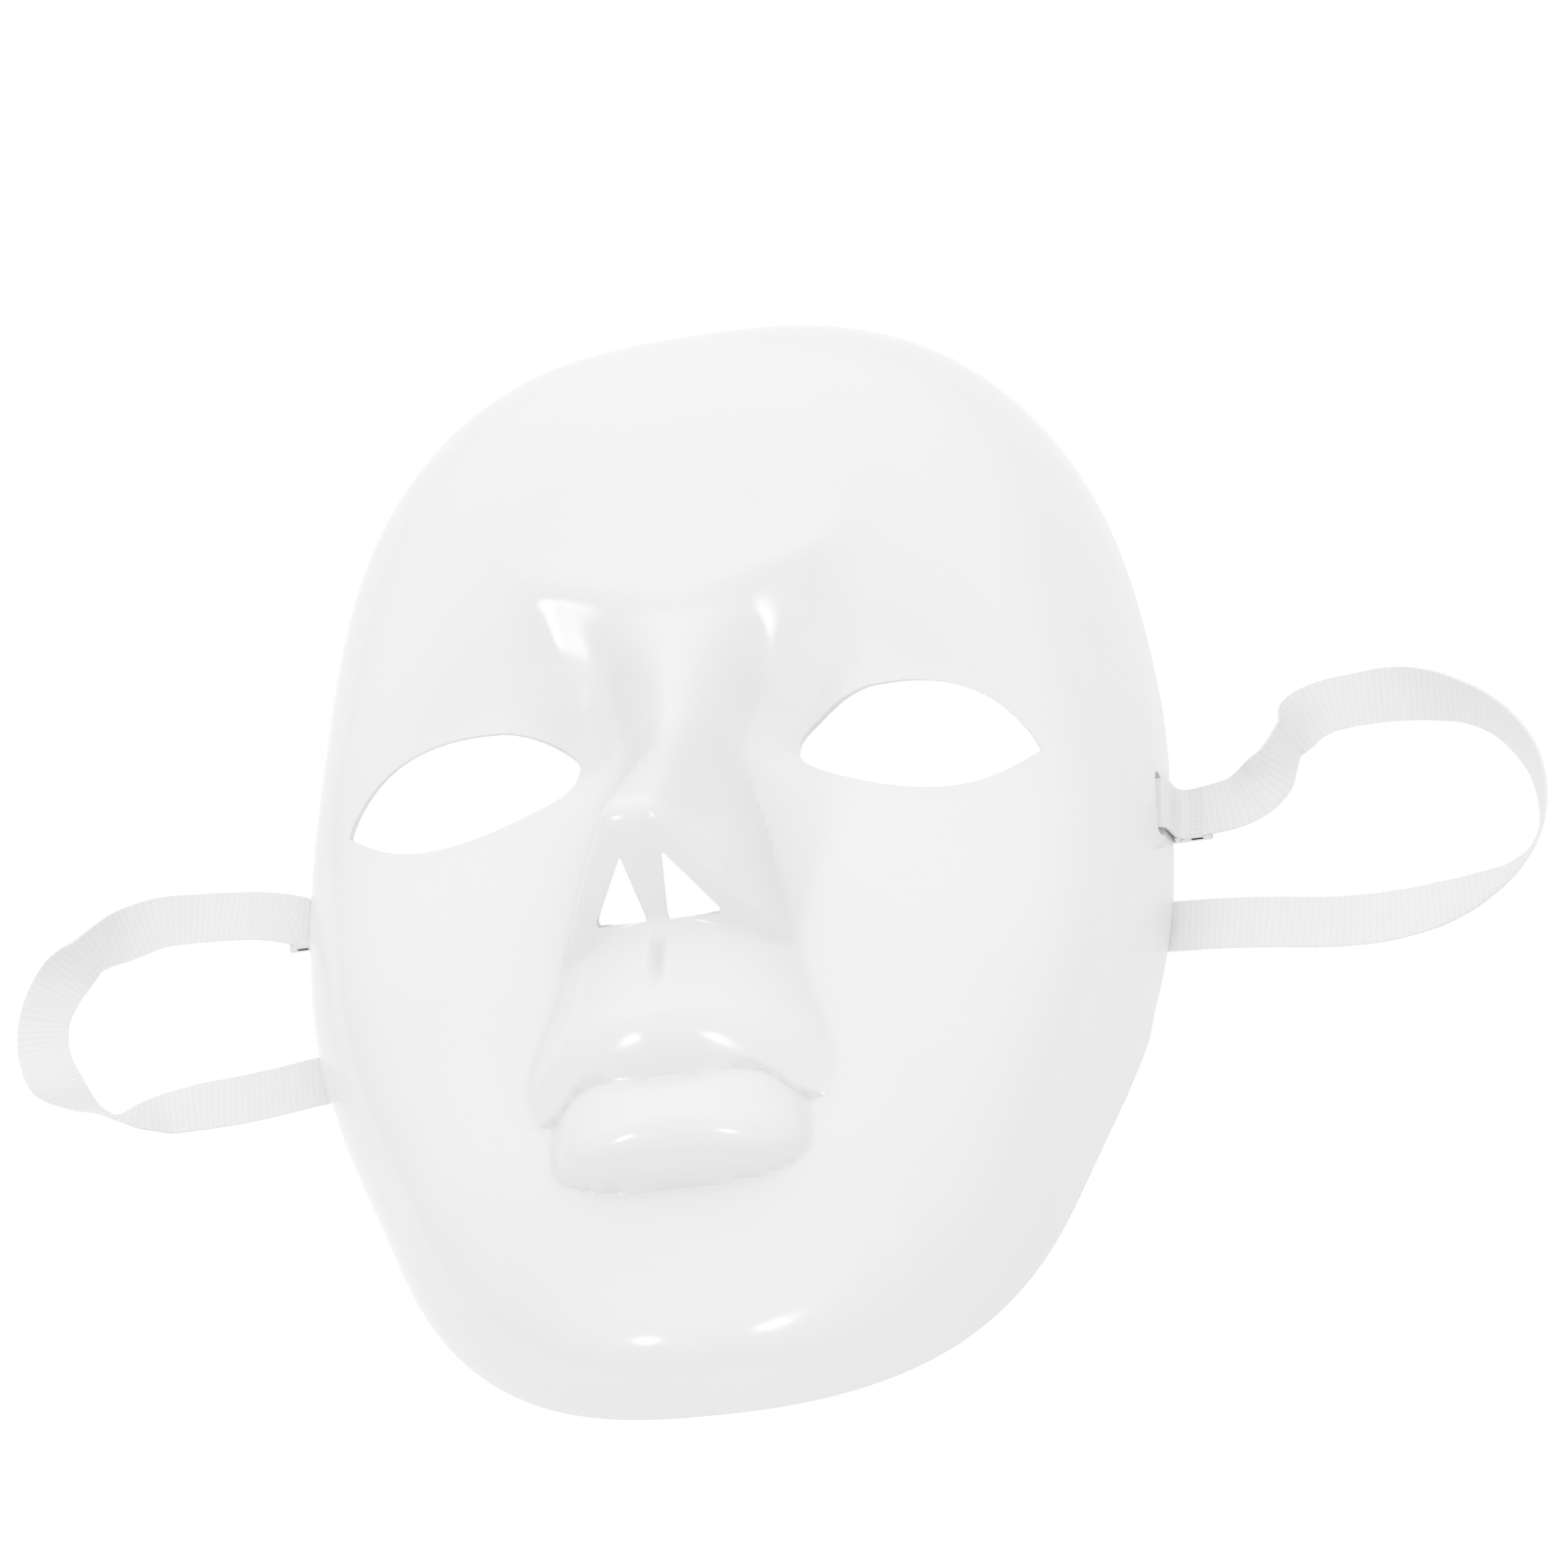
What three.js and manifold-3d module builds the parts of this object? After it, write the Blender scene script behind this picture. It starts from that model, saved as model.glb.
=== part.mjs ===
// A plain full face mask: one thin moulded shell with eye, nostril and ribbon holes,
// and two flat ribbon ties looped through slots at its side edges.
// Millimetres, +Z up. The mask lies face up on its side rims: X runs across the face,
// Y towards the forehead. Face coordinates are u = |x| and v, measured from near the eye line.
import * as THREE from 'three';
import { mergeVertices } from 'three/addons/utils/BufferGeometryUtils.js';
import Module from 'manifold-3d';

const wasm = await Module();
wasm.setup();

// Outline in plan
const HALF_WIDTH = 83.1;
const MID_V = -1.5;
const CHIN_REACH = 109.5;
const CHIN_POWER = 2.25;
const CROWN_REACH = 104.5;
const CROWN_POWER = 2.69;
const EAR = { v: -12, span: 20, out: 0.9 };
const TEMPLE = { v: 38, span: 20, out: -0.6 };
const JAW = { v: -66, span: 20, out: -3.4 };

// Wall and rim
const WALL = 1.0;
const CROWN_RIM = { from: 26, length: 77, rise: 29.0, power: 1.2 };
const CHIN_RIM = { from: -52, length: 59, rise: 2.8, power: 2.2 };
const RIBBON_RELIEF = { rise: 1.5, low: [-42, -36], high: [15, 9], near: [0.90, 1.0] };
const EDGE = 0.992;

// Eye holes
const EYE_INNER = 21.4;
const EYE_LENGTH = 45.7;
const EYE_INNER_V = 10.0;
const EYE_OUTER_V = 2.7;
const EYE_UPPER = 11.9;
const EYE_LOWER = 9.7;

// Nostrils: apex, outer foot and inner foot of each triangle
const NOSTRIL = [[3.9, -22.6], [12.4, -30.4], [1.8, -31.0]];

// Rounding of the shell towards the rim: power and root at chin, crown and sides
const CHIN_ROUNDING = [7.2, 0.45];
const CROWN_ROUNDING = [7.0, 0.38];
const SIDE_ROUNDING = [6.5, 0.42];
const SIDE_BLEND = [0.32, 0.75];
const CROWN_BLEND = [-10, 40];

// Cheeks, chin and forehead
const FACE_Z = 36.5;
const CHEEK_DIP = { v: -56, span: 20, depth: 2.2 };
const CHIN_FALL = { from: -50.2, to: -104.9, depth: 4.2, round: 0.0020, half: 35 };
const CHIN_BOSS = { v: -109.2, span: 12.5, half: 37, rise: 7.3 };
const FOREHEAD = { z: 45.0, v: 44, slope: 0.16, join: 20 };

// Brow and eye sockets: lines v = place + lean * u that bound the forehead, and the socket's pit
const BROW = { inner: [36.1, 0.303], outer: [75.0, -0.762], bend: 2.6, foot: 3.78 };
const BROW_TOP = { inner: 1.36, outer: 6.0, from: 26, to: 42 };
const BROW_SLOPE = { steep: 0.655, loss: 0.49, from: 24.0, to: 36.4 };
const PIT = { u: 21.3, v: 17.9, depth: 5.6, inward: 7.9, outward: 7.85, up: 9.65, down: 9.55 };

// Nose: straight ridge, crease beside it, tip, wings and underside
const BRIDGE_Z = 44.9;
const RIDGE = { z: 67.2, v: -15.5, slope: 0.86, top: 72.0, tipJoin: 4.0, bridgeJoin: 6.0 };
const RIDGE_END = [46, 32];
const CREASE_LOW = { u: 15.6, v: -3, lean: -0.26 };
const CREASE_HIGH = { u: 11.15, v: 6, lean: 0.30 };
const CREASE_JOIN = 3.0;
const FLANK = { top: 0.15, start: 0.25, join: 0.12, from: 14, to: -12 };
const WING_HALF = 21.9;
const WING_BASE = 37.9;
const SEPTUM_RISE = 11.5;
const UNDERSIDE_V = -30.8;
const UNDERSIDE_SLOPE = 1.38;
const TIP_BALL = { curve: 0.022, half: 11, from: -29, to: -17 };
const TIP_ROUND = { middle: 7.5, side: 2.5, from: 3, to: 14 };
const NOSE_FOOT = { join: 1.2, from: 4, to: -2, least: 0.01, edge: [0.75, 1.0] };

// Upper lip and its groove
const MOUTH_V = -59.7;
const CUPID = { u: 15.0, span: 5.5, rise: 2.4 };
const CORNER_DROP = { from: 17, to: 25, depth: 1.8 };
const MUZZLE_HALF = { top: 22.3, swell: 7.2, v: -54.8, span: 15 };
const MUZZLE_Z = 49.3;
const LEDGE = { v: -48.5, reach: 14, curve: 0.13, power: 1.7 };
const UNDERCUT = { depth: 12, from: 0.4, to: -2.6 };
const MUZZLE_FADE = { top: [-26, -30], foot: [-68, -64] };
const MUZZLE_JOIN = 0.8;
const PHILTRUM = { depth: 1.8, half: 1.1, foot: [-47, -38], head: [-32, -36] };

// Lower lip
const LIP_HALF = 25.4;
const LIP_FOOT_V = -76.2;
const LIP_ROLL = 9.6;
const LIP_BASE = 30.0;
const LIP_RISE = 14.2;
const LIP_CORNER = 2.8;
const LIP_FULLNESS = 0.6;
const LIP_JOIN = 0.8;
const LIPS_JOIN = 0.5;

// Ribbon slots and ribbons
const SLOT_V = 2.5;
const SLOT_Z = 7.5;
const SLOT_LENGTH = 13.0;
const SLOT_HEIGHT = 3.0;
const SLOT_CUT = { from: 70, depth: 24 };
const RIBBON_WIDTH = 10.0;
const RIBBON_THICK = 0.5;
const WELD_FROM = 86.9;
const WELD_LENGTH = 2.4;
const WELD_BREADTH = 9.0;
const WELD_THICK = 1.1;
const WELD_Z = 1.15;

// Round the rim strip, for the right side: welded tab, under the rim, up inside, out of the slot
// and over the outer face. Each station is x, v, z and the lean of the ribbon's upper edge.
const RIM_LOOP = [
  [91.0, 2.5, 0.62, 0], [87.0, 2.5, 0.62, 0], [83.6, 2.5, 0.62, 0], [82.1, 2.5, 0.85, 0],
  [81.4, 2.5, 1.9, 0], [80.8, 2.5, 4.2, 0], [80.3, 2.5, 6.3, 0], [80.8, 2.5, 7.4, 0],
  [82.4, 2.5, 7.7, 0], [83.6, 2.5, 7.2, 0], [84.2, 2.5, 5.9, 0], [84.5, 2.5, 4.0, 0],
  [85.1, 2.5, 2.5, 0], [86.6, 2.5, 1.7, 0],
];

// The free runs, from the weld out over the table, round and back in under the rim
const RIGHT_RUN = [
  [90.5, 3.0, 1.55, 0], [96.0, 4.0, 1.5, 5], [100.5, 5.8, 2.8, 25], [104.5, 9.2, 5.0, 65],
  [106.9, 13.6, 5.3, 75], [109.2, 18.2, 3.8, 35], [113.2, 21.0, 2.3, 15], [119.1, 21.8, 2.1, 12],
  [126.0, 21.4, 3.1, 30], [132.4, 19.7, 4.4, 50], [139.0, 17.0, 5.2, 68], [144.6, 13.3, 5.3, 74],
  [148.8, 8.5, 5.3, 74], [151.8, 3.0, 5.3, 74], [153.2, -3.0, 5.3, 74], [153.1, -9.0, 5.3, 74],
  [151.0, -14.3, 5.1, 66], [146.5, -18.5, 4.4, 50], [140.5, -20.8, 3.2, 30], [133.0, -22.2, 1.8, 12],
  [123.0, -22.8, 0.6, 2], [113.0, -22.4, 0.28, 0], [102.0, -21.0, 0.28, 0], [92.0, -20.0, 0.28, 0],
  [83.0, -19.5, 0.28, 0], [66.0, -18.8, 0.28, 0], [40.0, -18.0, 0.28, 0], [12.0, -19.2, 0.28, 0],
  [-20.0, -22.0, 0.28, 0],
];
const LEFT_RUN = [
  [-90.5, 4.0, 1.55, 0], [-97.0, 5.8, 1.3, 0], [-104.7, 6.9, 0.8, 2], [-111.5, 7.3, 0.9, 5],
  [-118.6, 6.8, 1.9, 15], [-123.4, 4.8, 3.2, 35], [-127.5, 2.2, 4.9, 62], [-131.5, -0.3, 5.3, 76],
  [-135.4, -3.0, 4.6, 50], [-139.0, -6.6, 3.1, 25], [-141.2, -11.0, 1.9, 12], [-141.4, -16.0, 1.6, 10],
  [-139.8, -21.6, 1.9, 12], [-136.4, -26.8, 3.2, 30], [-131.2, -32.0, 4.9, 60], [-124.8, -35.0, 5.3, 74],
  [-119.2, -35.2, 3.8, 40], [-113.6, -34.3, 1.7, 12], [-107.0, -33.2, 0.6, 2], [-99.5, -32.6, 0.28, 0],
  [-91.8, -31.8, 0.28, 0], [-82.5, -30.6, 0.28, 0], [-66.0, -30.4, 0.28, 0], [-38.0, -33.0, 0.28, 0],
  [-6.0, -37.0, 0.28, 0], [26.0, -39.0, 0.28, 0], [53.5, -38.0, 0.28, 0],
];

// Mesh fineness
const CELLS_ACROSS = 38;
const CELLS_ALONG = 46;
const RIBBON_SUBSTEPS = 2;
const RIM_FINENESS = { by: 1.5, span: 0.1 };
const MIDDLE_FINENESS = { by: 2.0, at: 0, span: 0.3 };
const MOUTH_FINENESS = { by: 2.4, at: -0.45, span: 0.25 };
const EYE_STEPS = 18;
const PRISM = { from: -20, depth: 110 };

const clamp = (x, a, b) => Math.min(Math.max(x, a), b);
const mix = (a, b, t) => a + (b - a) * t;
const bump = (d) => Math.exp(-d * d);

function ramp(a, b, x) {
  const t = clamp((x - a) / (b - a), 0, 1);
  return t * t * (3 - 2 * t);
}

function softMin(a, b, k) {
  const h = clamp(0.5 + 0.5 * (b - a) / k, 0, 1);
  return mix(b, a, h) - k * h * (1 - h);
}

const softMax = (a, b, k) => -softMin(-a, -b, k);

// Half width of the outline's ellipse at v: flared by the ears, pinched at temple and jaw
function halfWidth(v) {
  return [EAR, TEMPLE, JAW].reduce((half, s) => half + s.out * bump((v - s.v) / s.span), HALF_WIDTH);
}

// 0 in the middle of the face, 1 on the rim
function reach(u, v) {
  const power = v < MID_V ? CHIN_POWER : CROWN_POWER;
  const span = v < MID_V ? CHIN_REACH : CROWN_REACH;
  return ((u / halfWidth(v)) ** power + (Math.abs(v - MID_V) / span) ** power) ** (1 / power);
}

// Height of the rim: it stands on the sides and rises to crown and chin
function rimHeight(v) {
  const crown = CROWN_RIM.rise * clamp((v - CROWN_RIM.from) / CROWN_RIM.length, 0, 1) ** CROWN_RIM.power;
  const chin = CHIN_RIM.rise * clamp((CHIN_RIM.from - v) / CHIN_RIM.length, 0, 1) ** CHIN_RIM.power;
  return crown + chin;
}

// The rim stands clear of the table where the ribbons pass under it
function ribbonRelief(r, v) {
  return RIBBON_RELIEF.rise * ramp(...RIBBON_RELIEF.low, v) * ramp(...RIBBON_RELIEF.high, v)
    * ramp(...RIBBON_RELIEF.near, r);
}

// Rounded shoulder of the shell: 1 over the middle, 0 at the rim
function shoulder(r, power, root) {
  const foot = (1 - EDGE ** power) ** root;
  return ((1 - (EDGE * Math.min(r, 1)) ** power) ** root - foot) / (1 - foot);
}

// The line between the lips
function mouthLine(u) {
  return MOUTH_V + CUPID.rise * bump((u - CUPID.u) / CUPID.span)
    - CORNER_DROP.depth * ramp(CORNER_DROP.from, CORNER_DROP.to, u);
}

// Where the forehead ends and the steep side of the eye socket begins
function browLine(u) {
  return softMin(BROW.inner[0] + BROW.inner[1] * u, BROW.outer[0] + BROW.outer[1] * u, BROW.bend);
}

// The deepest place of the eye socket, beside the nose root
function socketPit(u, v) {
  const across = (u - PIT.u) / (u > PIT.u ? PIT.outward : PIT.inward);
  const along = (v - PIT.v) / (v > PIT.v ? PIT.up : PIT.down);
  return PIT.depth * bump(across) * bump(along);
}

// The face without its rounding towards the rim: cheeks and sockets, brow and forehead
function crestHeight(u, v) {
  const dip = CHEEK_DIP.depth * bump((v - CHEEK_DIP.v) / CHEEK_DIP.span);
  const chin = CHIN_FALL.depth + CHIN_FALL.round * Math.min(u, CHIN_FALL.half) ** 2;
  const low = FACE_Z - dip - chin * ramp(CHIN_FALL.from, CHIN_FALL.to, v) - socketPit(u, v);
  const forehead = FOREHEAD.z + FOREHEAD.slope * softMax(v - FOREHEAD.v, 0, FOREHEAD.join);
  const slope = BROW_SLOPE.steep * (1 - BROW_SLOPE.loss * ramp(BROW_SLOPE.from, BROW_SLOPE.to, u));
  const top = mix(BROW_TOP.inner, BROW_TOP.outer, ramp(BROW_TOP.from, BROW_TOP.to, u));
  const brow = softMin(forehead, forehead + slope * (v - browLine(u)), top);
  return softMax(low, brow, BROW.foot);
}

function dome(u, v) {
  const r = reach(u, v);
  const side = ramp(...SIDE_BLEND, u / halfWidth(v) / Math.max(r, 1e-6));
  const up = ramp(...CROWN_BLEND, v);
  const [power, root] = SIDE_ROUNDING.map(
    (at, k) => mix(mix(CHIN_ROUNDING[k], CROWN_ROUNDING[k], up), at, side));
  const rim = rimHeight(v);
  const boss = CHIN_BOSS.rise * bump((v - CHIN_BOSS.v) / CHIN_BOSS.span) * bump(u / CHIN_BOSS.half);
  return rim + (crestHeight(u, v) - rim) * shoulder(r, power, root) + boss + ribbonRelief(r, v);
}

// A straight ridge to a round tip, steep flanks to a crease, and a flat underside
function addNose(z, u, v) {
  const line = softMin(RIDGE.z - RIDGE.slope * (v - RIDGE.v), RIDGE.top, RIDGE.tipJoin);
  const ridge = softMax(BRIDGE_Z, line, RIDGE.bridgeJoin);
  const crease = softMax(CREASE_LOW.u + CREASE_LOW.lean * (v - CREASE_LOW.v),
    CREASE_HIGH.u + CREASE_HIGH.lean * (v - CREASE_HIGH.v), CREASE_JOIN);
  const t = clamp(u / crease, 0, 1);
  const flank = softMax(FLANK.top * t ** 2, (t - FLANK.start) / (1 - FLANK.start), FLANK.join);
  const section = 1 - mix(t * t * (3 - 2 * t), flank, ramp(FLANK.from, FLANK.to, v));
  const body = z + Math.max(ridge - z, 0) * section * ramp(...RIDGE_END, v);
  if (v >= NOSE_FOOT.from) return body;
  const bow = Math.sqrt(clamp(1 - (u / WING_HALF) ** 2, 0, 1));
  const ball = TIP_BALL.curve * Math.min(u, TIP_BALL.half) ** 2 * ramp(TIP_BALL.from, TIP_BALL.to, v);
  const underside = WING_BASE + SEPTUM_RISE * bow + (v - UNDERSIDE_V) * UNDERSIDE_SLOPE - ball;
  const join = mix(TIP_ROUND.middle, TIP_ROUND.side, ramp(TIP_ROUND.from, TIP_ROUND.to, u));
  const foot = NOSE_FOOT.join * ramp(NOSE_FOOT.from, NOSE_FOOT.to, v) + NOSE_FOOT.least;
  return softMax(z, softMin(body, underside, join) - foot * ramp(...NOSE_FOOT.edge, t), foot);
}

// The upper lip: a round front standing on the cheeks, cut under along the mouth line
function addMuzzle(z, base, u, v) {
  const half = MUZZLE_HALF.top + MUZZLE_HALF.swell * bump((v - MUZZLE_HALF.v) / MUZZLE_HALF.span);
  const t = clamp(u / half, 0, 1.2);
  const crown = MUZZLE_Z - LEDGE.curve * clamp(LEDGE.v - v, 0, LEDGE.reach) ** LEDGE.power;
  const undercut = UNDERCUT.depth * ramp(UNDERCUT.from, UNDERCUT.to, v - mouthLine(u));
  const groove = PHILTRUM.depth * bump(u / PHILTRUM.half)
    * ramp(...PHILTRUM.foot, v) * ramp(...PHILTRUM.head, v);
  const muzzle = base + Math.max(crown - base, 0) * (1 - t ** 2) - undercut - groove;
  const here = ramp(...MUZZLE_FADE.top, v) * ramp(...MUZZLE_FADE.foot, v);
  return mix(z, softMax(z, muzzle, MUZZLE_JOIN), here);
}

// The lower lip: a pillow, full under the mouth line, rolling down to its foot
function addLowerLip(z, u, v) {
  const rollV = LIP_FOOT_V + LIP_ROLL;
  const down = clamp((rollV - v) / LIP_ROLL, 0, 1);
  const up = 0.5 * clamp((v - rollV) / (mouthLine(u) + 2 - rollV), 0, 2);
  const along = clamp(u / LIP_HALF, 0, 1);
  const fall = (Math.max(down, up) ** LIP_CORNER + along ** LIP_CORNER) ** (2 / LIP_CORNER);
  if (fall >= 1) return z;
  return softMax(z, LIP_BASE + LIP_RISE * (1 - fall) ** LIP_FULLNESS, LIP_JOIN);
}

// Height of the mask's outer face; the last join lifts equal heights by a quarter of itself
function faceHeight(x, v) {
  const u = Math.hypot(x, 0.3);
  const base = dome(u, v);
  const z = addMuzzle(addNose(base, u, v), base, u, v);
  return softMax(z, addLowerLip(base, u, v), LIPS_JOIN) - LIPS_JOIN / 4;
}

// Stations from -1 to 1, closer together where density is high
function spread(count, density) {
  const fine = 2000;
  const sums = [0];
  for (let i = 0; i < fine; i += 1) sums.push(sums[i] + density(-1 + 2 * (i + 0.5) / fine));
  const stations = [];
  let j = 0;
  for (let i = 0; i <= count; i += 1) {
    const share = sums[fine] * i / count;
    while (j < fine && sums[j + 1] < share) j += 1;
    const part = j < fine ? (share - sums[j]) / (sums[j + 1] - sums[j]) : 0;
    stations.push(-1 + 2 * (j + part) / fine);
  }
  return stations;
}

// A point of the square grid, -1 to 1 both ways, carried to the outline's plan
function planPoint(a, b) {
  const dx = a * Math.sqrt(1 - b * b / 2);
  const dy = b * Math.sqrt(1 - a * a / 2);
  const r = Math.hypot(dx, dy);
  if (r < 1e-9) return [0, MID_V];
  const power = dy < 0 ? CHIN_POWER : CROWN_POWER;
  const out = (Math.abs(dx / r) ** power + Math.abs(dy / r) ** power) ** (-1 / power);
  const v = MID_V + dy * out * (dy < 0 ? CHIN_REACH : CROWN_REACH);
  return [dx * out * halfWidth(v), v];
}

function toSolid(geometry) {
  const plain = geometry.index ? geometry.toNonIndexed() : geometry.clone();
  plain.deleteAttribute('normal');
  plain.deleteAttribute('uv');
  const merged = mergeVertices(plain, 1e-4);
  return new wasm.Manifold(new wasm.Mesh({
    numProp: 3,
    vertProperties: new Float32Array(merged.attributes.position.array),
    triVerts: new Uint32Array(merged.index.array),
  }));
}

function toGeometry(solid) {
  const mesh = solid.getMesh();
  const geometry = new THREE.BufferGeometry();
  geometry.setAttribute('position', new THREE.BufferAttribute(new Float32Array(mesh.vertProperties), 3));
  geometry.setIndex(new THREE.BufferAttribute(new Uint32Array(mesh.triVerts), 1));
  geometry.computeVertexNormals();
  return geometry;
}

// The shell before its holes are cut: outer face, inner face one wall below, flat rim between
function buildShellGeometry() {
  const nearRim = (c) => RIM_FINENESS.by * bump((Math.abs(c) - 1) / RIM_FINENESS.span);
  const near = (place, c) => place.by * bump((c - place.at) / place.span);
  const across = spread(CELLS_ACROSS, (a) => 1 + near(MIDDLE_FINENESS, a) + nearRim(a));
  const along = spread(CELLS_ALONG, (b) => 1 + near(MOUTH_FINENESS, b) + nearRim(b));
  const columns = across.length;
  const points = [];
  for (const b of along) {
    for (const a of across) {
      const [x, v] = planPoint(a, b);
      points.push(new THREE.Vector3(x, v, faceHeight(x, v)));
    }
  }
  const at = (i, j) => j * columns + i;
  const faces = [];
  for (let j = 0; j < along.length - 1; j += 1) {
    for (let i = 0; i < columns - 1; i += 1) {
      const [p, q, r, s] = [at(i, j), at(i + 1, j), at(i + 1, j + 1), at(i, j + 1)];
      const slope = (m, n) => Math.abs(points[m].z - points[n].z) / points[m].distanceTo(points[n]);
      if (slope(p, r) < slope(q, s)) faces.push([p, q, r], [p, r, s]);
      else faces.push([p, q, s], [q, r, s]);
    }
  }
  const outer = new THREE.BufferGeometry().setFromPoints(points);
  outer.setIndex(faces.flat());
  outer.computeVertexNormals();
  const normals = outer.attributes.normal;
  const onRim = (n) => n % columns === 0 || n % columns === columns - 1
    || n < columns || n >= points.length - columns;
  const inner = points.map((point, n) => {
    const normal = new THREE.Vector3().fromBufferAttribute(normals, n);
    if (onRim(n)) normal.setZ(0).normalize();
    return point.clone().addScaledVector(normal, -WALL);
  });
  const rim = [];
  for (let i = 0; i < columns - 1; i += 1) rim.push(at(i, 0));
  for (let j = 0; j < along.length - 1; j += 1) rim.push(at(columns - 1, j));
  for (let i = columns - 1; i > 0; i -= 1) rim.push(at(i, along.length - 1));
  for (let j = along.length - 1; j > 0; j -= 1) rim.push(at(0, j));
  const total = points.length;
  const index = faces.flat();
  for (const [p, q, r] of faces) index.push(p + total, r + total, q + total);
  rim.forEach((p, k) => {
    const q = rim[(k + 1) % rim.length];
    index.push(p, q + total, q, p, p + total, q + total);
  });
  const shell = new THREE.BufferGeometry().setFromPoints([...points, ...inner]);
  shell.setIndex(index);
  return shell;
}

// Both edges of the eye hole at a share t of its length
function eyeEdge(t) {
  const chord = mix(EYE_INNER_V, EYE_OUTER_V, t);
  const swell = 4 * t * (1 - t);
  return {
    u: EYE_INNER + EYE_LENGTH * t,
    upper: chord + EYE_UPPER * swell ** (0.48 + 0.25 * t * t),
    lower: chord - EYE_LOWER * swell ** (0.33 + 0.7 * t),
  };
}

function eyeShape(side) {
  const edges = [];
  for (let i = 0; i <= EYE_STEPS; i += 1) {
    edges.push(eyeEdge(0.5 - 0.5 * Math.cos(Math.PI * i / EYE_STEPS)));
  }
  const loop = edges.map((e) => new THREE.Vector2(side * e.u, e.upper));
  for (const e of edges.slice(1, -1).reverse()) loop.push(new THREE.Vector2(side * e.u, e.lower));
  return new THREE.Shape(loop);
}

function nostrilShape(side) {
  return new THREE.Shape(NOSTRIL.map(([u, v]) => new THREE.Vector2(side * u, v)));
}

// A prism over the whole depth of the mask
function upright(shape) {
  const prism = new THREE.ExtrudeGeometry(shape, { depth: PRISM.depth, bevelEnabled: false });
  prism.translate(0, 0, PRISM.from);
  return toSolid(prism);
}

// A bar with round ends, lying across the side wall
function slotCutter(side) {
  const half = SLOT_LENGTH / 2 - SLOT_HEIGHT / 2;
  const shape = new THREE.Shape();
  shape.absarc(half, 0, SLOT_HEIGHT / 2, -Math.PI / 2, Math.PI / 2, false);
  shape.absarc(-half, 0, SLOT_HEIGHT / 2, Math.PI / 2, 3 * Math.PI / 2, false);
  const bar = new THREE.ExtrudeGeometry(shape,
    { depth: SLOT_CUT.depth, bevelEnabled: false, curveSegments: 6 });
  bar.rotateX(Math.PI / 2);
  bar.rotateZ(Math.PI / 2);
  bar.translate(side > 0 ? SLOT_CUT.from : -SLOT_CUT.from - SLOT_CUT.depth, SLOT_V, SLOT_Z);
  return toSolid(bar);
}

function buildShell() {
  let shell = toSolid(buildShellGeometry());
  for (const side of [-1, 1]) {
    shell = shell.subtract(upright(eyeShape(side)));
    shell = shell.subtract(upright(nostrilShape(side)));
    shell = shell.subtract(slotCutter(side));
  }
  return toGeometry(shell);
}

// A flat band along its stations, standing on edge where it leans
function bandGeometry(side, stations, loopCount) {
  const path = new THREE.CatmullRomCurve3(
    stations.map(([x, v, z]) => new THREE.Vector3(x, v, z)), false, 'centripetal');
  const steps = (stations.length - 1) * RIBBON_SUBSTEPS;
  const corners = [];
  for (let i = 0; i <= steps; i += 1) {
    const t = i / steps;
    const place = t * (stations.length - 1);
    const k = Math.min(Math.floor(place), stations.length - 2);
    const lean = THREE.MathUtils.degToRad(mix(stations[k][3], stations[k + 1][3], place - k));
    const centre = path.getPoint(t);
    const along = path.getTangent(t);
    const level = new THREE.Vector3(0, 1, 0);
    if (place > loopCount) level.set(-along.y, along.x, 0).multiplyScalar(side).normalize();
    const wide = level.multiplyScalar(Math.cos(lean)).add(new THREE.Vector3(0, 0, Math.sin(lean)));
    wide.addScaledVector(along, -wide.dot(along)).normalize();
    const thick = new THREE.Vector3().crossVectors(along, wide);
    for (const [a, b] of [[-1, -1], [1, -1], [1, 1], [-1, 1]]) {
      corners.push(centre.clone().addScaledVector(wide, a * RIBBON_WIDTH / 2)
        .addScaledVector(thick, b * RIBBON_THICK / 2));
    }
  }
  const index = [0, 3, 2, 0, 2, 1];
  for (let i = 0; i < steps; i += 1) {
    for (let c = 0; c < 4; c += 1) {
      const d = (c + 1) % 4;
      const [p, q, r, s] = [4 * i + c, 4 * i + d, 4 * i + 4 + d, 4 * i + 4 + c];
      index.push(p, q, r, p, r, s);
    }
  }
  const last = 4 * steps;
  index.push(last, last + 1, last + 2, last, last + 2, last + 3);
  const band = new THREE.BufferGeometry().setFromPoints(corners);
  band.setIndex(index);
  return band;
}

// One tie: the band and the weld that closes its loop round the rim strip
function buildRibbon(side, freeRun) {
  const loop = RIM_LOOP.map(([x, v, z, lean]) => [side * x, v, z, lean]);
  const band = toSolid(bandGeometry(side, [...loop, ...freeRun], loop.length));
  const weld = new THREE.BoxGeometry(WELD_LENGTH, WELD_BREADTH, WELD_THICK);
  weld.translate(side * (WELD_FROM + WELD_LENGTH / 2), SLOT_V, WELD_Z);
  return toGeometry(band.add(toSolid(weld)));
}

const shellMaterial = new THREE.MeshStandardMaterial({ color: 0xf4f4f5, roughness: 0.22, metalness: 0 });
const ribbonMaterial = new THREE.MeshStandardMaterial({ color: 0xededee, roughness: 0.5, metalness: 0 });

function part(name, geometry, material) {
  const mesh = new THREE.Mesh(geometry, material);
  mesh.name = name;
  return mesh;
}

const mask = new THREE.Group();
mask.position.y = (CHIN_REACH - CROWN_REACH) / 2 - MID_V;
mask.add(part('mask_shell', buildShell(), shellMaterial));
mask.add(part('ribbon_right', buildRibbon(1, RIGHT_RUN), ribbonMaterial));
mask.add(part('ribbon_left', buildRibbon(-1, LEFT_RUN), ribbonMaterial));

export default mask;
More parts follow.
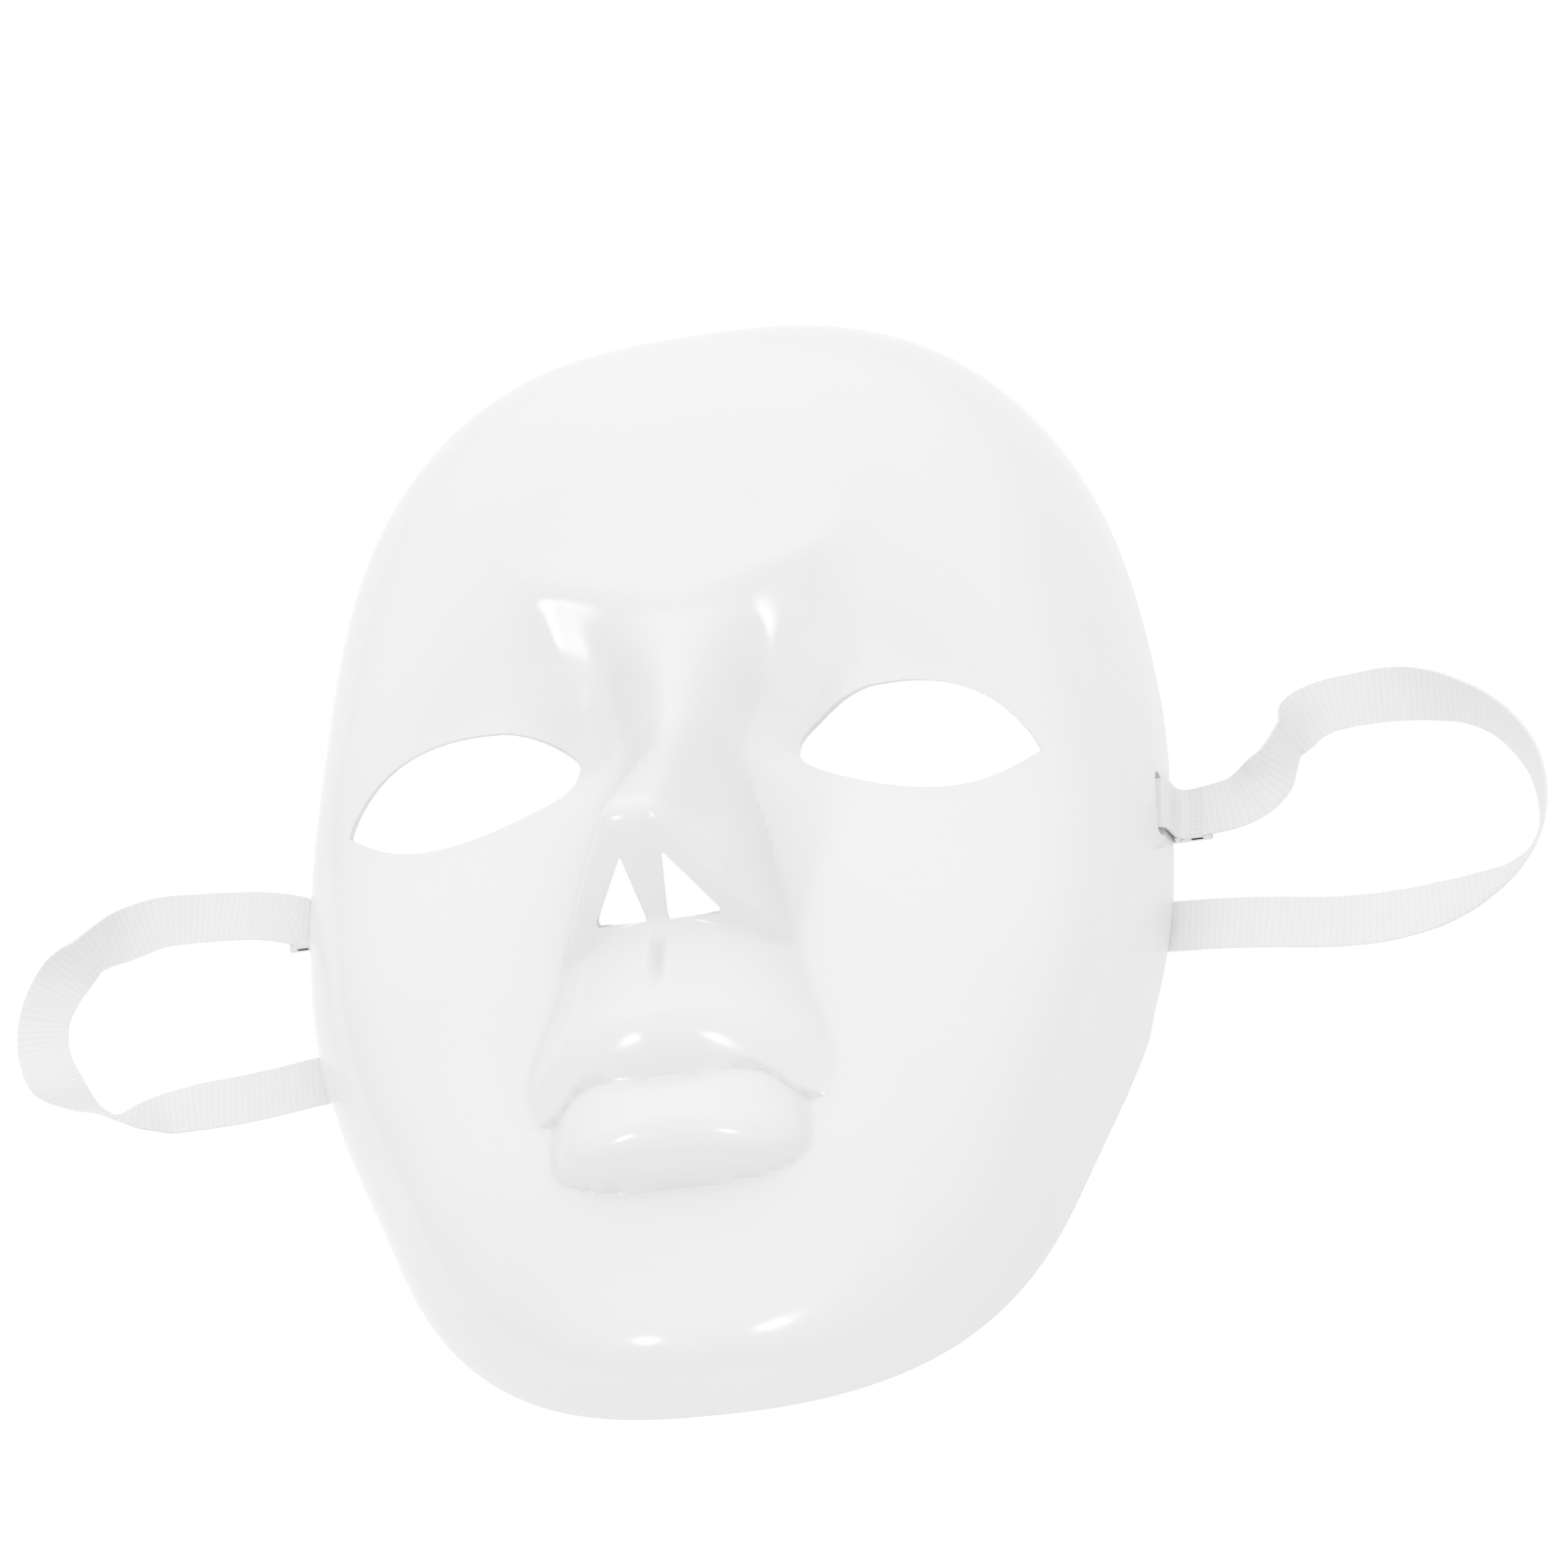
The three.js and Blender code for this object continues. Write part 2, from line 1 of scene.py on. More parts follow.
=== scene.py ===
# A plain full face mask with two ribbon ties, lying face up: the fine model, its finish and its studio.
# Sizes are millimetres until they become mesh points, which are metres in the row frame.
# Face coordinates are u = |x| and v, measured from near the eye line; row Y is v + FACE_SHIFT.
import math
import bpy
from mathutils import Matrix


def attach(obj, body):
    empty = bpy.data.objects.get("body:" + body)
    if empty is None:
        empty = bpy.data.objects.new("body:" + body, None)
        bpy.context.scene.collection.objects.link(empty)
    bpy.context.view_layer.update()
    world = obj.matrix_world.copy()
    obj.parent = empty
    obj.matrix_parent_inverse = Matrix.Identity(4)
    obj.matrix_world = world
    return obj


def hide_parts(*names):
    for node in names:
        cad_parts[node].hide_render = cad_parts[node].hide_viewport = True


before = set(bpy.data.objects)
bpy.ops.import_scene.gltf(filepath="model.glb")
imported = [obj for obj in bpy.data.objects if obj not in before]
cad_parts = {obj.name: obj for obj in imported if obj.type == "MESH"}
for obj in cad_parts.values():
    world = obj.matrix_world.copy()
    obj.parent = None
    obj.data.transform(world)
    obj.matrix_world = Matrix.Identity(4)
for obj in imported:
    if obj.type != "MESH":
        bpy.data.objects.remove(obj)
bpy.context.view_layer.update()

from types import SimpleNamespace as Form

import bmesh
import bpy
import numpy as np
from mathutils import Matrix, Vector
from mathutils.geometry import delaunay_2d_cdt

MM = 0.001

# Outline in plan
HALF_WIDTH = 83.1
MID_V = -1.5
CHIN_REACH = 109.5
CHIN_POWER = 2.25
CROWN_REACH = 104.5
CROWN_POWER = 2.69
EAR = Form(v=-12, span=20, out=0.9)
TEMPLE = Form(v=38, span=20, out=-0.6)
JAW = Form(v=-66, span=20, out=-3.4)
FACE_SHIFT = (CHIN_REACH - CROWN_REACH) / 2 - MID_V

# Wall and rim
WALL = 1.0
CROWN_RIM = Form(start=26, length=77, rise=29.0, power=1.2)
CHIN_RIM = Form(start=-52, length=59, rise=2.8, power=2.2)
RIBBON_RELIEF = Form(rise=1.5, low=(-42, -36), high=(15, 9), near=(0.90, 1.0))
EDGE = 0.992

# Eye holes
EYE_INNER = 21.4
EYE_LENGTH = 45.7
EYE_INNER_V = 10.0
EYE_OUTER_V = 2.7
EYE_UPPER = Form(reach=11.9, blunt=0.48, taper=0.25)
EYE_LOWER = Form(reach=9.7, blunt=0.33, taper=0.7)

# Nostrils: apex, outer foot and inner foot of each triangle, and the radius of its corners
NOSTRIL = [(3.9, -22.6), (12.4, -30.4), (1.8, -31.0)]
NOSTRIL_CORNER = 0.45

# Rounding of the shell towards the rim: power and root at chin, crown and sides
CHIN_ROUNDING = (7.2, 0.45)
CROWN_ROUNDING = (7.0, 0.38)
SIDE_ROUNDING = (6.5, 0.42)
SIDE_BLEND = (0.32, 0.75)
CROWN_BLEND = (-10, 40)

# Cheeks, chin and forehead
FACE_Z = 36.5
MIDLINE_ROUND = 0.3
CHEEK_DIP = Form(v=-56, span=20, depth=2.2)
CHIN_FALL = Form(start=-50.2, end=-104.9, depth=4.2, round=0.0020, half=35)
CHIN_BOSS = Form(v=-109.2, span=12.5, half=37, rise=7.3)
FOREHEAD = Form(z=45.0, v=44, slope=0.16, join=20)

# Brow and eye sockets: lines v = place + lean * u that bound the forehead, and the socket's pit
BROW = Form(inner=(36.1, 0.303), outer=(75.0, -0.762), bend=2.6, foot=3.78)
BROW_TOP = Form(inner=1.36, outer=6.0, fade=(26, 42))
BROW_SLOPE = Form(steep=0.655, loss=0.49, start=24.0, end=36.4)
PIT = Form(u=21.3, v=17.9, depth=5.6, inward=7.9, outward=7.85, up=9.65, down=9.55)

# Nose: straight ridge, crease beside it, tip, wings and underside
BRIDGE_Z = 44.9
RIDGE = Form(z=67.2, v=-15.5, slope=0.86, top=72.0, tip_join=4.0, bridge_join=6.0)
RIDGE_END = (46, 32)
CREASE_LOW = Form(u=15.6, v=-3, lean=-0.26)
CREASE_HIGH = Form(u=11.15, v=6, lean=0.30)
CREASE_JOIN = 3.0
FLANK = Form(top=0.15, start=0.25, join=0.12, fade=(14, -12))
WING_HALF = 21.9
WING_BASE = 37.9
SEPTUM_RISE = 11.5
UNDERSIDE_V = -30.8
UNDERSIDE_SLOPE = 1.38
TIP_BALL = Form(curve=0.022, half=11, fade=(-29, -17))
TIP_ROUND = Form(middle=7.5, side=2.5, fade=(3, 14))
NOSE_FOOT = Form(join=1.2, fade=(4, -2), least=0.01, edge=(0.75, 1.0))

# Upper lip and its groove
MOUTH_V = -59.7
CUPID = Form(u=15.0, span=5.5, rise=2.4)
CORNER_DROP = Form(fade=(17, 25), depth=1.8)
MUZZLE_HALF = Form(top=22.3, swell=7.2, v=-54.8, span=15)
MUZZLE_Z = 49.3
LEDGE = Form(v=-48.5, reach=14, curve=0.13, power=1.7)
UNDERCUT = Form(depth=12, fade=(0.4, -2.6))
MUZZLE_FADE = Form(top=(-26, -30), foot=(-68, -64))
MUZZLE_JOIN = 0.8
MUZZLE_SIDE = 1.2
PHILTRUM = Form(depth=1.8, half=1.1, foot=(-47, -38), head=(-32, -36))

# Lower lip
LIP_HALF = 25.4
LIP_FOOT_V = -76.2
LIP_ROLL = 9.6
LIP_BASE = 30.0
LIP_RISE = 14.2
LIP_CORNER = 2.8
LIP_FULLNESS = 0.6
LIP_TUCK = 2.0
LIP_JOIN = 0.8
LIPS_JOIN = 0.5

# Ribbon slots, and both ends in x of the bar that cuts one
SLOT_V = 2.5
SLOT_Z = 7.5
SLOT_LENGTH = 13.0
SLOT_HEIGHT = 3.0
SLOT_CUT = (70, 94)

# Ribbons
RIBBON_WIDTH = 10.0
RIBBON_THICK = 0.5
RIBBON_SECTION = Form(middle=0.86, power=6)

# The weld between tab and run. Each block is both ends in x, underside, top and the ribs pressed into it.
WELD_BREADTH = 9.96
WELD_RIB = 0.10
WELDS = [((84.2, 85.3), 0.5, 2.2, 0), ((85.2, 91.0), 0.5, 1.4, 0), ((87.2, 89.4), 0.6, 1.9, 11)]

# The ribbon round the rim strip, and each free run from the weld over the table and in under the rim.
# Each station is x, v, z and the lean of the ribbon's upper edge in degrees.
RIM_LOOP = [
    (91.0, 2.5, 0.62, 0), (87.0, 2.5, 0.62, 0), (83.6, 2.5, 0.62, 0), (82.1, 2.5, 0.85, 0),
    (81.4, 2.5, 1.9, 0), (80.8, 2.5, 4.2, 0), (80.3, 2.5, 6.3, 0), (80.8, 2.5, 7.4, 0),
    (82.4, 2.5, 7.7, 0), (83.6, 2.5, 7.2, 0), (84.2, 2.5, 5.9, 0), (84.5, 2.5, 4.0, 0),
    (85.1, 2.5, 2.5, 0), (86.6, 2.5, 1.7, 0),
]
RIGHT_RUN = [
    (90.5, 3.0, 1.55, 0), (96.0, 4.0, 1.5, 5), (100.5, 5.8, 2.8, 25), (104.5, 9.2, 5.0, 65),
    (106.9, 13.6, 5.3, 75), (109.2, 18.2, 3.8, 35), (113.2, 21.0, 2.3, 15), (119.1, 21.8, 2.1, 12),
    (126.0, 21.4, 3.1, 30), (132.4, 19.7, 4.4, 50), (139.0, 17.0, 5.2, 68), (144.6, 13.3, 5.3, 74),
    (148.8, 8.5, 5.3, 74), (151.8, 3.0, 5.3, 74), (153.2, -3.0, 5.3, 74), (153.1, -9.0, 5.3, 74),
    (151.0, -14.3, 5.1, 66), (146.5, -18.5, 4.4, 50), (140.5, -20.8, 3.2, 30), (133.0, -22.2, 1.8, 12),
    (123.0, -22.8, 0.6, 2), (113.0, -22.4, 0.28, 0), (102.0, -21.0, 0.28, 0), (92.0, -20.0, 0.28, 0),
    (83.0, -19.5, 0.28, 0), (66.0, -18.8, 0.28, 0), (40.0, -18.0, 0.28, 0), (12.0, -19.2, 0.28, 0),
    (-20.0, -22.0, 0.28, 0),
]
LEFT_RUN = [
    (-90.5, 4.0, 1.55, 0), (-97.0, 5.8, 1.3, 0), (-104.7, 6.9, 0.8, 2), (-111.5, 7.3, 0.9, 5),
    (-118.6, 6.8, 1.9, 15), (-123.4, 4.8, 3.2, 35), (-127.5, 2.2, 4.9, 62), (-131.5, -0.3, 5.3, 76),
    (-135.4, -3.0, 4.6, 50), (-139.0, -6.6, 3.1, 25), (-141.2, -11.0, 1.9, 12), (-141.4, -16.0, 1.6, 10),
    (-139.8, -21.6, 1.9, 12), (-136.4, -26.8, 3.2, 30), (-131.2, -32.0, 4.9, 60), (-124.8, -35.0, 5.3, 74),
    (-119.2, -35.2, 3.8, 40), (-113.6, -34.3, 1.7, 12), (-107.0, -33.2, 0.6, 2), (-99.5, -32.6, 0.28, 0),
    (-91.8, -31.8, 0.28, 0), (-82.5, -30.6, 0.28, 0), (-66.0, -30.4, 0.28, 0), (-38.0, -33.0, 0.28, 0),
    (-6.0, -37.0, 0.28, 0), (26.0, -39.0, 0.28, 0), (53.5, -38.0, 0.28, 0),
]

# Mesh fineness
CELLS_ACROSS = 180
CELLS_ALONG = 226
RIM_FINENESS = Form(by=1.6, at=1, span=0.1)
MIDDLE_FINENESS = Form(by=1.5, at=0, span=0.33)
MOUTH_FINENESS = Form(by=1.5, at=-0.45, span=0.25)
SPREAD_STEPS = 4000
HOLE_STEP = 0.8
NOSTRIL_STEP = 0.48
HOLE_CLEARANCE = 0.6
EYE_POINTS = 200
CORNER_POINTS = 7
WALL_BLURS = 4
SLOT_SIDES = 32
CURVE_STEPS = 24
RIBBON_STEP = 1.0
RIBBON_CELLS = 12
WELD_CELLS = 60
SHELL_SHARP = 42
RIBBON_SHARP = 50

# The photograph's view: turn round Y, then X, then Z, in degrees, focal length and shift in the photograph's
# pixels, pixels to a millimetre at the mask, and the place that the camera looks at
VIEW_YAW = 17.65
VIEW_PITCH = 26.99
VIEW_ROLL = 1.10
VIEW_FOCAL = 6000
VIEW_SCALE = 5.3
VIEW_DISTANCE = VIEW_FOCAL / VIEW_SCALE
VIEW_AIM = (0.0, 16.0, -19.0)
VIEW_SHIFT = (-10.7, 91.6)
PHOTO_SIZE = 1600

# The camera's sensor in millimetres and how far it sees in metres
SENSOR = 36
VIEW_REACH = 50

# Plastic: tones of its faint cloudiness, specks, roughness and the slight wave of its surface
PLASTIC = Form(ior=1.46, low=(0.795, 0.797, 0.802, 1), high=(0.815, 0.816, 0.82, 1), between=(0.3, 0.7),
               cloud=14, detail=3, roughness=(0.14, 0.18))
SPECKS = Form(scale=55, rarity=0.93, edge=(0.05, 0.02), strength=0.35, tone=(0.60, 0.60, 0.60, 1))
WAVE = Form(scale=70, detail=2, strength=0.015, depth=0.0006)

# Satin: tones between the threads, the threads' scales, how they mix, and their relief
SATIN = Form(low=(0.765, 0.765, 0.77, 1), high=(0.80, 0.80, 0.803, 1), between=(0.2, 0.8),
             roughness=0.45, sheen=0.25, sheen_roughness=0.4)
RIBS = Form(scale=260, distortion=0.6)
GRAIN = Form(scale=900, distortion=1.0, share=0.35)
FUZZ = Form(scale=300, share=0.3)
WEAVE = Form(strength=0.08, depth=0.00005)

# Studio: the floor in metres, the glow by axis, side and share, and the softboxes by yaw and pitch
FLOOR = Form(half=3, z=-0.0001, tone=(0.1, 0.1, 0.1, 1), roughness=0.9, specular=0.1, glow=0.93)
SKY = [("X", 1, 0.50), ("X", -1, 0.43), ("Y", 1, 0.82), ("Y", -1, 0.37), ("Z", 1, 0.83)]
SOFTBOXES = [("softbox_left", -38.6, 37.5), ("softbox_right", 16.8, 37.5)]
SOFTBOX = Form(size=0.6, energy=6.0, distance=3.0, aim=(0, 0, 0.03))
WHITE = (1, 1, 1, 1)


def clamp(x, low, high):
    return np.minimum(np.maximum(x, low), high)


def mix(a, b, t):
    return a + (b - a) * t


def bump(d):
    """1 at 0, falling to nothing on both sides."""
    return np.exp(-d * d)


def ramp(a, b, x):
    """0 at a, 1 at b, with a smooth start and end."""
    t = clamp((x - a) / (b - a), 0, 1)
    return t * t * (3 - 2 * t)


def soft_min(a, b, k):
    """The lower of two heights, rounded over where they are closer than k."""
    h = clamp(0.5 + 0.5 * (b - a) / k, 0, 1)
    return mix(b, a, h) - k * h * (1 - h)


def soft_max(a, b, k):
    return -soft_min(-a, -b, k)


def half_width(v):
    """Half width of the outline's ellipse at v: flared by the ears, pinched at temple and jaw."""
    return HALF_WIDTH + sum(s.out * bump((v - s.v) / s.span) for s in (EAR, TEMPLE, JAW))


def reach(u, v):
    """0 in the middle of the face, 1 on the rim."""
    power = np.where(v < MID_V, CHIN_POWER, CROWN_POWER)
    span = np.where(v < MID_V, CHIN_REACH, CROWN_REACH)
    return ((u / half_width(v)) ** power + (np.abs(v - MID_V) / span) ** power) ** (1 / power)


def rim_height(v):
    """The rim stands on the sides and rises to crown and chin."""
    crown = CROWN_RIM.rise * clamp((v - CROWN_RIM.start) / CROWN_RIM.length, 0, 1) ** CROWN_RIM.power
    chin = CHIN_RIM.rise * clamp((CHIN_RIM.start - v) / CHIN_RIM.length, 0, 1) ** CHIN_RIM.power
    return crown + chin


def ribbon_relief(r, v):
    """The rim stands clear of the table where the ribbons pass under it."""
    return (RIBBON_RELIEF.rise * ramp(*RIBBON_RELIEF.low, v) * ramp(*RIBBON_RELIEF.high, v)
            * ramp(*RIBBON_RELIEF.near, r))


def shoulder(r, power, root):
    """The shell's rounding: 1 over the middle, 0 at the rim."""
    foot = (1 - EDGE ** power) ** root
    return ((1 - (EDGE * np.minimum(r, 1)) ** power) ** root - foot) / (1 - foot)


def mouth_line(u):
    """The line between the lips."""
    return (MOUTH_V + CUPID.rise * bump((u - CUPID.u) / CUPID.span)
            - CORNER_DROP.depth * ramp(*CORNER_DROP.fade, u))


def brow_line(u):
    """Where the forehead ends and the steep side of the eye socket begins."""
    return soft_min(BROW.inner[0] + BROW.inner[1] * u, BROW.outer[0] + BROW.outer[1] * u, BROW.bend)


def socket_pit(u, v):
    """The deepest place of the eye socket, beside the nose root."""
    across = (u - PIT.u) / np.where(u > PIT.u, PIT.outward, PIT.inward)
    along = (v - PIT.v) / np.where(v > PIT.v, PIT.up, PIT.down)
    return PIT.depth * bump(across) * bump(along)


def crest_height(u, v):
    """The face without its rounding towards the rim: cheeks and sockets, brow and forehead."""
    dip = CHEEK_DIP.depth * bump((v - CHEEK_DIP.v) / CHEEK_DIP.span)
    chin = CHIN_FALL.depth + CHIN_FALL.round * np.minimum(u, CHIN_FALL.half) ** 2
    low = FACE_Z - dip - chin * ramp(CHIN_FALL.start, CHIN_FALL.end, v) - socket_pit(u, v)
    forehead = FOREHEAD.z + FOREHEAD.slope * soft_max(v - FOREHEAD.v, 0, FOREHEAD.join)
    slope = BROW_SLOPE.steep * (1 - BROW_SLOPE.loss * ramp(BROW_SLOPE.start, BROW_SLOPE.end, u))
    top = mix(BROW_TOP.inner, BROW_TOP.outer, ramp(*BROW_TOP.fade, u))
    brow = soft_min(forehead, forehead + slope * (v - brow_line(u)), top)
    return soft_max(low, brow, BROW.foot)


def dome(u, v):
    """The whole shell without nose and lips: the crest rounded down to its rim."""
    r = reach(u, v)
    side = ramp(*SIDE_BLEND, u / half_width(v) / np.maximum(r, 1e-6))
    up = ramp(*CROWN_BLEND, v)
    power, root = (mix(mix(low, high, up), at, side)
                   for low, high, at in zip(CHIN_ROUNDING, CROWN_ROUNDING, SIDE_ROUNDING))
    rim = rim_height(v)
    boss = CHIN_BOSS.rise * bump((v - CHIN_BOSS.v) / CHIN_BOSS.span) * bump(u / CHIN_BOSS.half)
    return rim + (crest_height(u, v) - rim) * shoulder(r, power, root) + boss + ribbon_relief(r, v)


def add_nose(z, u, v):
    """A straight ridge to a round tip, steep flanks to a crease, and a flat underside."""
    line = soft_min(RIDGE.z - RIDGE.slope * (v - RIDGE.v), RIDGE.top, RIDGE.tip_join)
    ridge = soft_max(BRIDGE_Z, line, RIDGE.bridge_join)
    crease = soft_max(CREASE_LOW.u + CREASE_LOW.lean * (v - CREASE_LOW.v),
                      CREASE_HIGH.u + CREASE_HIGH.lean * (v - CREASE_HIGH.v), CREASE_JOIN)
    t = clamp(u / crease, 0, 1)
    flank = soft_max(FLANK.top * t ** 2, (t - FLANK.start) / (1 - FLANK.start), FLANK.join)
    section = 1 - mix(t * t * (3 - 2 * t), flank, ramp(*FLANK.fade, v))
    body = z + np.maximum(ridge - z, 0) * section * ramp(*RIDGE_END, v)
    bow = np.sqrt(clamp(1 - (u / WING_HALF) ** 2, 0, 1))
    ball = TIP_BALL.curve * np.minimum(u, TIP_BALL.half) ** 2 * ramp(*TIP_BALL.fade, v)
    underside = WING_BASE + SEPTUM_RISE * bow + (v - UNDERSIDE_V) * UNDERSIDE_SLOPE - ball
    join = mix(TIP_ROUND.middle, TIP_ROUND.side, ramp(*TIP_ROUND.fade, u))
    foot = NOSE_FOOT.join * ramp(*NOSE_FOOT.fade, v) + NOSE_FOOT.least
    low = soft_max(z, soft_min(body, underside, join) - foot * ramp(*NOSE_FOOT.edge, t), foot)
    return np.where(v >= NOSE_FOOT.fade[0], body, low)


def add_muzzle(z, base, u, v):
    """The upper lip: a round front standing on the cheeks, cut under along the mouth line."""
    half = MUZZLE_HALF.top + MUZZLE_HALF.swell * bump((v - MUZZLE_HALF.v) / MUZZLE_HALF.span)
    t = clamp(u / half, 0, MUZZLE_SIDE)
    crown = MUZZLE_Z - LEDGE.curve * clamp(LEDGE.v - v, 0, LEDGE.reach) ** LEDGE.power
    undercut = UNDERCUT.depth * ramp(*UNDERCUT.fade, v - mouth_line(u))
    groove = (PHILTRUM.depth * bump(u / PHILTRUM.half)
              * ramp(*PHILTRUM.foot, v) * ramp(*PHILTRUM.head, v))
    muzzle = base + np.maximum(crown - base, 0) * (1 - t ** 2) - undercut - groove
    here = ramp(*MUZZLE_FADE.top, v) * ramp(*MUZZLE_FADE.foot, v)
    return mix(z, soft_max(z, muzzle, MUZZLE_JOIN), here)


def add_lower_lip(z, u, v):
    """A pillow, full under the mouth line, rolling down to its foot."""
    roll_v = LIP_FOOT_V + LIP_ROLL
    down = clamp((roll_v - v) / LIP_ROLL, 0, 1)
    up = 0.5 * clamp((v - roll_v) / (mouth_line(u) + LIP_TUCK - roll_v), 0, 2)
    along = clamp(u / LIP_HALF, 0, 1)
    fall = (np.maximum(down, up) ** LIP_CORNER + along ** LIP_CORNER) ** (2 / LIP_CORNER)
    pillow = LIP_BASE + LIP_RISE * clamp(1 - fall, 0, 1) ** LIP_FULLNESS
    return np.where(fall < 1, soft_max(z, pillow, LIP_JOIN), z)


def face_height(x, v):
    """Height of the mask's outer face; the last join lifts equal heights by a quarter of itself."""
    u = np.hypot(x, MIDLINE_ROUND)
    base = dome(u, v)
    z = add_muzzle(add_nose(base, u, v), base, u, v)
    return soft_max(z, add_lower_lip(base, u, v), LIPS_JOIN) - LIPS_JOIN / 4


def to_row(points):
    """Face coordinates in millimetres to the row frame in metres."""
    return (np.asarray(points, float) + (0.0, FACE_SHIFT, 0.0)) * MM


def set_camera():
    """The camera at the photograph's viewing angle and distance."""
    yaw, pitch, roll = (math.radians(a) for a in (VIEW_YAW, VIEW_PITCH, VIEW_ROLL))
    c, s = math.cos, math.sin
    turn = Matrix(((c(yaw), 0, -s(yaw)), (0, 1, 0), (s(yaw), 0, c(yaw))))
    tip = Matrix(((1, 0, 0), (0, c(pitch), s(pitch)), (0, -s(pitch), c(pitch))))
    spin = Matrix(((c(roll), s(roll), 0), (-s(roll), c(roll), 0), (0, 0, 1)))
    axes = spin @ tip @ turn
    data = bpy.data.cameras.new("camera")
    camera = bpy.data.objects.new("camera", data)
    bpy.context.collection.objects.link(camera)
    data.sensor_width = SENSOR
    data.lens = SENSOR * VIEW_FOCAL / PHOTO_SIZE
    data.clip_end = VIEW_REACH
    data.shift_x = -VIEW_SHIFT[0] / PHOTO_SIZE
    data.shift_y = VIEW_SHIFT[1] / PHOTO_SIZE
    place = (Vector(VIEW_AIM) + axes[2] * VIEW_DISTANCE) * MM
    camera.matrix_world = Matrix.Translation(place) @ axes.transposed().to_4x4()
    bpy.context.scene.camera = camera


def centripetal(points, per_span):
    """Points along the centripetal Catmull-Rom curve through the stations, and their places."""
    points = np.asarray(points, float)
    ends = np.vstack([2 * points[0] - points[1], points, 2 * points[-1] - points[-2]])
    line = []
    place = []
    for k in range(len(points) - 1):
        p0, p1, p2, p3 = ends[k:k + 4]
        d0, d1, d2 = (max(np.linalg.norm(b - a) ** 0.5, 1e-4) for a, b in ((p0, p1), (p1, p2), (p2, p3)))
        t1 = ((p1 - p0) / d0 - (p2 - p0) / (d0 + d1) + (p2 - p1) / d1) * d1
        t2 = ((p2 - p1) / d1 - (p3 - p1) / (d1 + d2) + (p3 - p2) / d2) * d1
        for i in range(per_span):
            t = i / per_span
            line.append(p1 + t1 * t + (-3 * p1 + 3 * p2 - 2 * t1 - t2) * t ** 2
                        + (2 * p1 - 2 * p2 + t1 + t2) * t ** 3)
            place.append(k + t)
    line.append(points[-1])
    place.append(len(points) - 1)
    return np.array(line), np.array(place)


def even_steps(line, values, step):
    """The line again with points one step apart, the values that go with them, and the way along."""
    along = np.concatenate([[0], np.cumsum(np.linalg.norm(np.diff(line, axis=0), axis=1))])
    at = np.linspace(0, along[-1], int(along[-1] / step) + 1)
    resampled = np.stack([np.interp(at, along, line[:, k]) for k in range(3)], axis=1)
    return resampled, np.interp(at, along, values), at


def new_object(name, points, faces, uv=None):
    """A mesh object in the scene from points in metres."""
    mesh = bpy.data.meshes.new(name)
    mesh.from_pydata([tuple(p) for p in points], [], [tuple(int(i) for i in f) for f in faces])
    if uv is not None:
        layer = mesh.uv_layers.new(name="UVMap")
        for loop in mesh.loops:
            layer.data[loop.index].uv = uv[loop.vertex_index]
    mesh.validate()
    mesh.update()
    piece = bpy.data.objects.new(name, mesh)
    bpy.context.collection.objects.link(piece)
    return piece


def weld_block(side, span, low, high, ribs):
    """A filled stretch between tab and run, its top pressed into ribs across the ribbon."""
    across = np.linspace(0, 1, WELD_CELLS + 1)
    y = (across - 0.5) * WELD_BREADTH
    top = high + WELD_RIB * np.cos(2 * math.pi * ribs * across)
    ring = [*zip(SLOT_V + y, top), *[(SLOT_V + b, low) for b in y[::-1]]]
    points = [(side * x, v, z) for x in span for v, z in ring]
    count = len(ring)
    faces = [(k, (k + 1) % count, count + (k + 1) % count, count + k) for k in range(count)]
    for first in (0, count):
        for k in range(WELD_CELLS):
            faces.append((first + k, first + k + 1, first + count - 2 - k, first + count - 1 - k))
    return points, faces


